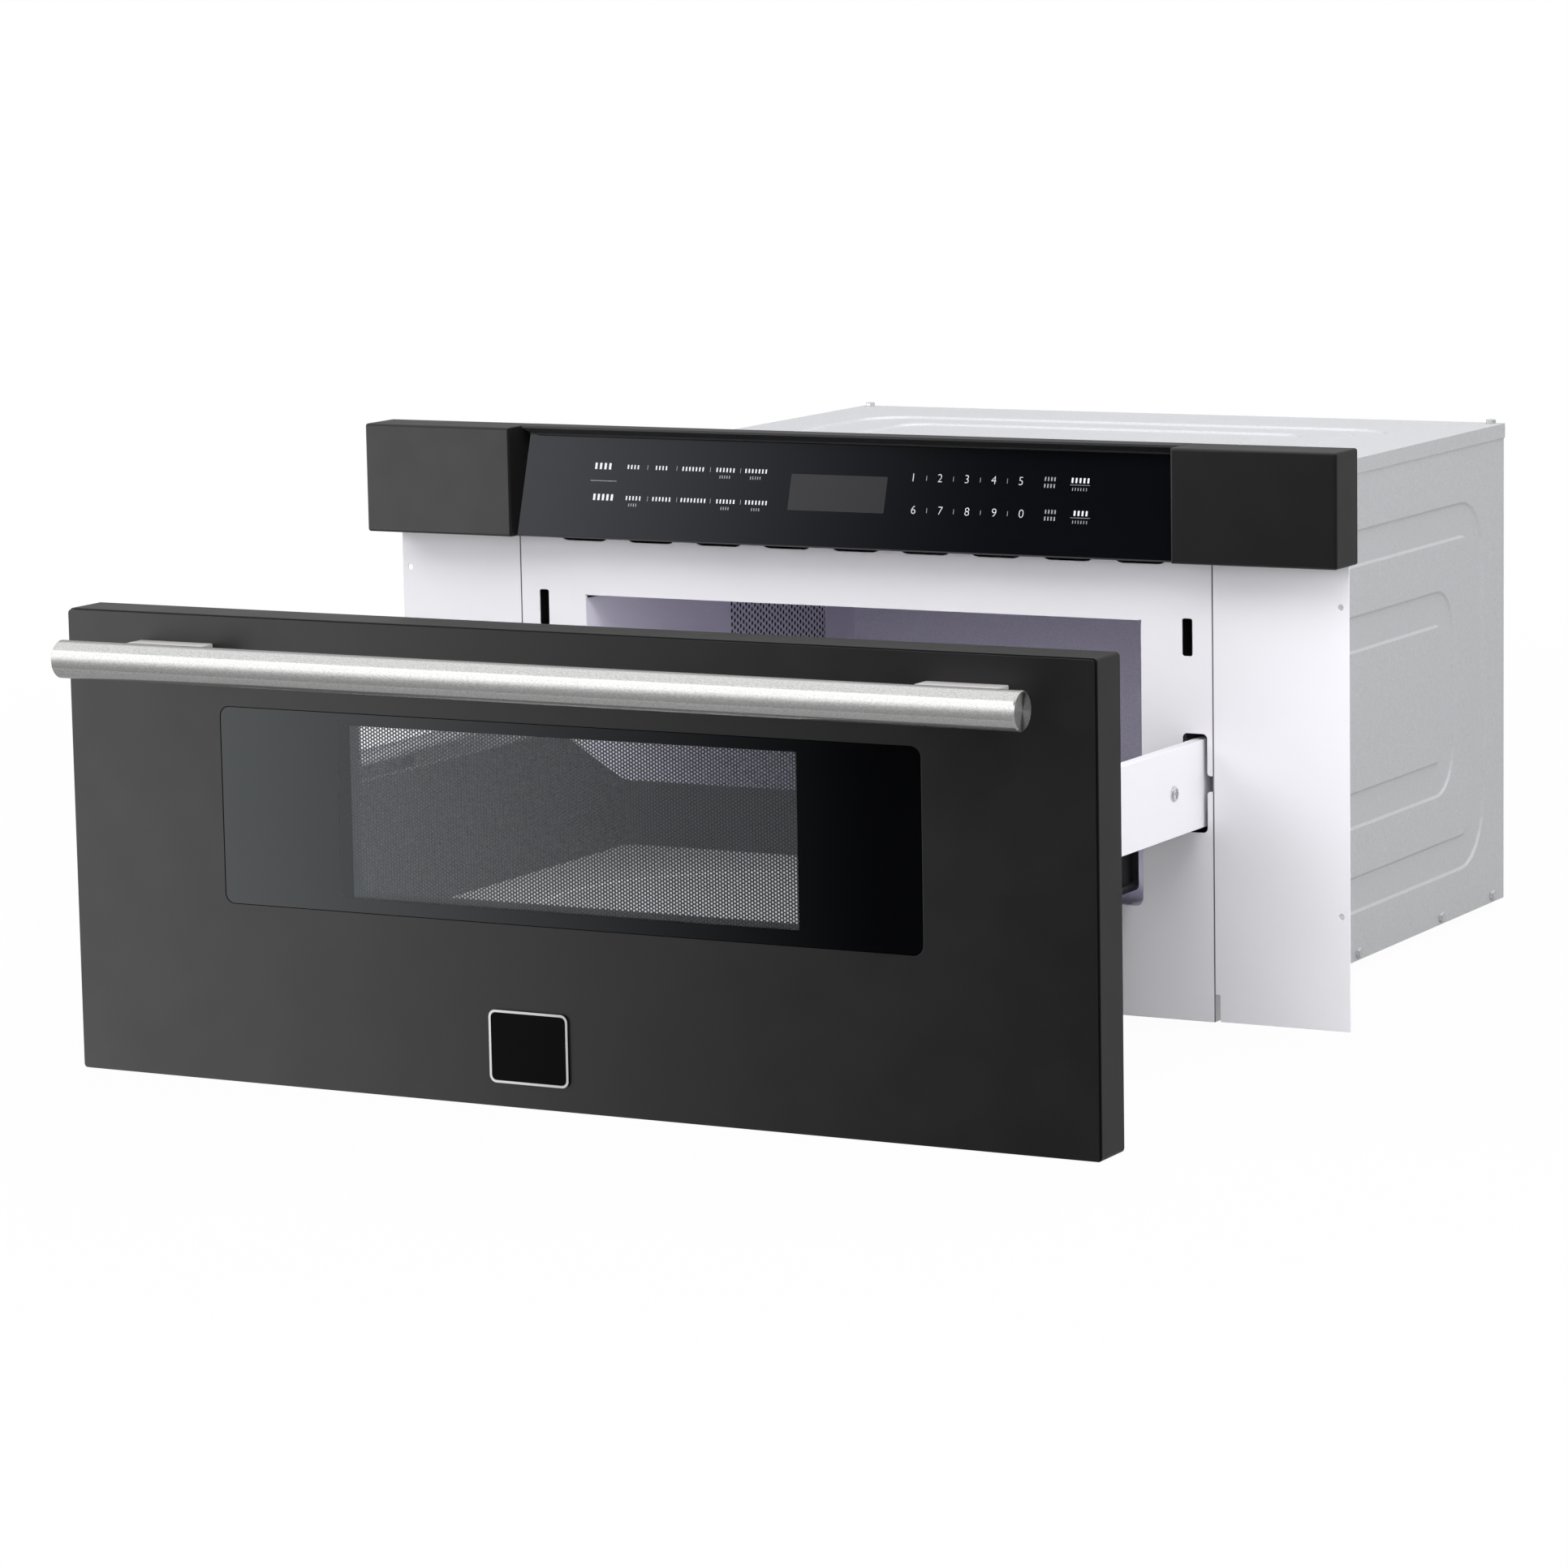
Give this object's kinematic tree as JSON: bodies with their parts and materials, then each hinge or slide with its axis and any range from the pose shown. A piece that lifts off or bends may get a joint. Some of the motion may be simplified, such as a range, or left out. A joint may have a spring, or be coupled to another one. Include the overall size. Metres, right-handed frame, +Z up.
{
  "type": "microwave drawer",
  "caption": "Built-in microwave drawer: black windowed door with a bar handle pulls a tub out of a steel cabinet under a tilted touch panel.",
  "frame": {"origin": "middle of the cabinet's underside, where the cabinet rests on the floor of its cut-out; the drawer is fully open at rest", "axes": "+Z up, the door and control panel face -Y, +X is the viewer's right"},
  "size_m": [0.762, 1.0388, 0.4064],
  "materials": {
    "galvanised_sheet": "galvanised steel sheet, fine matt spangle",
    "white_paint": "white powder coat, satin",
    "cavity_enamel": "lavender-grey baked enamel, satin",
    "door_paint": "black satin paint on steel",
    "black_moulding": "black moulded plastic, fine texture",
    "cap_paint": "black satin paint",
    "panel_glass": "black-backed toughened glass, polished",
    "window_glass": "tinted toughened glass, polished",
    "screen_metal": "perforated steel, black coated",
    "stainless": "stainless steel, fine long brushing",
    "badge_metal": "black field with a thin bright rim",
    "tray_ceramic": "white glazed ceramic",
    "slide_steel": "zinc-plated slide steel",
    "screw_steel": "zinc-plated screws",
    "nylon": "natural nylon moulding",
    "black_nylon": "black nylon moulding",
    "aluminium_sheet": "plain aluminium sheet",
    "magnetron_metal": "plated steel yoke with aluminium fins",
    "transformer_core": "varnished laminations and enamelled coils",
    "capacitor_can": "drawn aluminium can",
    "circuit_board": "green solder mask with parts",
    "motor_steel": "plated motor casing",
    "mica_plate": "pale stirrer cover",
    "lamp_parts": "ceramic lamp holder with its bulb"
  },
  "bodies": {
    "cabinet": {"base_pan": "galvanised_sheet", "side_panel_left": "galvanised_sheet", "side_panel_right": "galvanised_sheet", "rear_panel": "galvanised_sheet", "top_cover": "galvanised_sheet", "face_frame": "white_paint", "filler_strip_left": "white_paint", "filler_strip_right": "white_paint", "cabinet_screws": "screw_steel", "cord_bushing": "black_nylon", "cavity_shell": "cavity_enamel", "vent_screen": "cavity_enamel", "stirrer_cover": "mica_plate", "waveguide": "slide_steel", "magnetron": "magnetron_metal", "stirrer_motor": "motor_steel", "fan_shroud": "black_nylon", "fan_motor": "motor_steel", "air_duct": "black_nylon", "hv_transformer": "transformer_core", "hv_capacitor": "capacitor_can", "power_board": "circuit_board", "oven_lamp": "lamp_parts", "control_housing": "black_moulding", "end_cap_left": "cap_paint", "end_cap_right": "cap_paint", "control_glass": "panel_glass", "control_board": "circuit_board", "latch_carrier_left": "black_nylon", "latch_carrier_right": "black_nylon", "interlock_switches": "black_nylon", "rail_bracket_left": "slide_steel", "rail_bracket_right": "slide_steel", "outer_rail_left": "slide_steel", "outer_rail_right": "slide_steel", "drive_gearmotor": "motor_steel", "rack_guide": "black_nylon"},
    "drawer": {"door_skin": "door_paint", "door_frame": "door_paint", "window_glass": "window_glass", "window_screen": "screen_metal", "choke_cover": "black_moulding", "badge_plate": "badge_metal", "handle_bar": "stainless", "handle_post_left": "stainless", "handle_post_right": "stainless", "drawer_screws": "screw_steel", "drawer_tub": "black_moulding", "ceramic_tray": "tray_ceramic", "inner_rail_left": "slide_steel", "inner_rail_right": "slide_steel", "rail_arm_left": "white_paint", "rail_arm_right": "white_paint", "latch_hooks": "nylon", "drive_rack": "nylon"},
    "middle_slide_left": {"middle_rail_left": "slide_steel"},
    "middle_slide_right": {"middle_rail_right": "slide_steel"},
    "pinion": {"drive_pinion": "nylon"},
    "cooling_fan": {"cooling_fan_wheel": "black_nylon"},
    "stirrer": {"stirrer_fan": "aluminium_sheet"}
  },
  "joints": [
    {"name": "drawer_slide", "type": "slide", "parent": "cabinet", "child": "drawer", "axis": [0, 1, 0], "range_m": [0, 0.38]},
    {"name": "middle_slide_left", "type": "slide", "parent": "cabinet", "child": "middle_slide_left", "axis": [0, 1, 0], "range_m": [0, 0.19]},
    {"name": "middle_slide_right", "type": "slide", "parent": "cabinet", "child": "middle_slide_right", "axis": [0, 1, 0], "range_m": [0, 0.19]},
    {"name": "pinion_spin", "type": "hinge", "parent": "cabinet", "child": "pinion", "pos_m": [0.0185, -0.2342, 0.028], "axis": [0, 0, 1], "range_deg": [-1613, 0]},
    {"name": "cooling_fan_spin", "type": "hinge", "parent": "cabinet", "child": "cooling_fan", "pos_m": [0.106, 0.2086, 0.236], "axis": [1, 0, 0], "continuous": true},
    {"name": "stirrer_spin", "type": "hinge", "parent": "cabinet", "child": "stirrer", "pos_m": [0, -0.07, 0.285], "axis": [0, 0, 1], "continuous": true}
  ],
  "couplings": [
    {"joint": "middle_slide_left", "follows": "drawer_slide", "ratio": 0.5},
    {"joint": "middle_slide_right", "follows": "drawer_slide", "ratio": 0.5},
    {"joint": "pinion_spin", "follows": "drawer_slide", "rad_per_m": -74.074}
  ]
}
